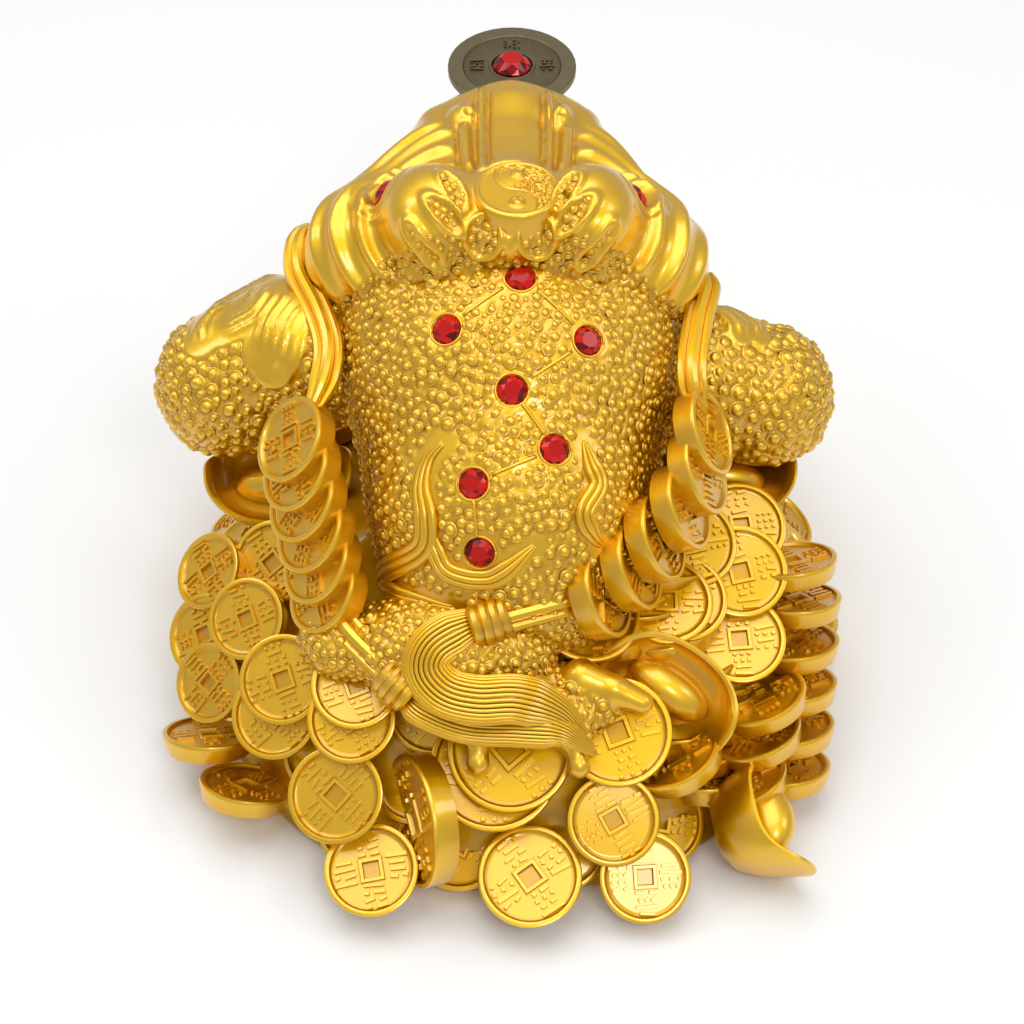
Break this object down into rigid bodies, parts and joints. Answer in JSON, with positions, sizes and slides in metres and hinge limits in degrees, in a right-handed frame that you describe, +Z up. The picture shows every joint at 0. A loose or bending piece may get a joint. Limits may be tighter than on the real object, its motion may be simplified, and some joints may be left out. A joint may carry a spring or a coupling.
{
  "type": "money toad figure",
  "caption": "Gilded money toad crouching on a heap of cash coins and boat-shaped ingots, with strings of coins on its flanks, red gems along its back and a loose bronze coin in its mouth.",
  "frame": {"origin": "middle of the felt pad's underside", "axes": "+Z up, +Y towards the mouth and its coin, +X the toad's right side"},
  "size_m": [0.1869, 0.2177, 0.1386],
  "materials": {
    "gilt": "satin gold metallic coat on cast resin, darker in the hollows",
    "aged_bronze": "antique olive-brown bronze",
    "red_glass": "clear faceted red",
    "maroon_flock": "flocked felt"
  },
  "bodies": {
    "root": {"gilt_figure": "gilt", "back_gem_1": "red_glass", "back_gem_2": "red_glass", "back_gem_3": "red_glass", "back_gem_4": "red_glass", "back_gem_5": "red_glass", "back_gem_6": "red_glass", "back_gem_7": "red_glass", "eye_gem_left": "red_glass", "eye_gem_right": "red_glass", "mouth_coin": "aged_bronze", "mouth_coin_gem": "red_glass", "base_felt": "maroon_flock"}
  },
  "joints": []
}
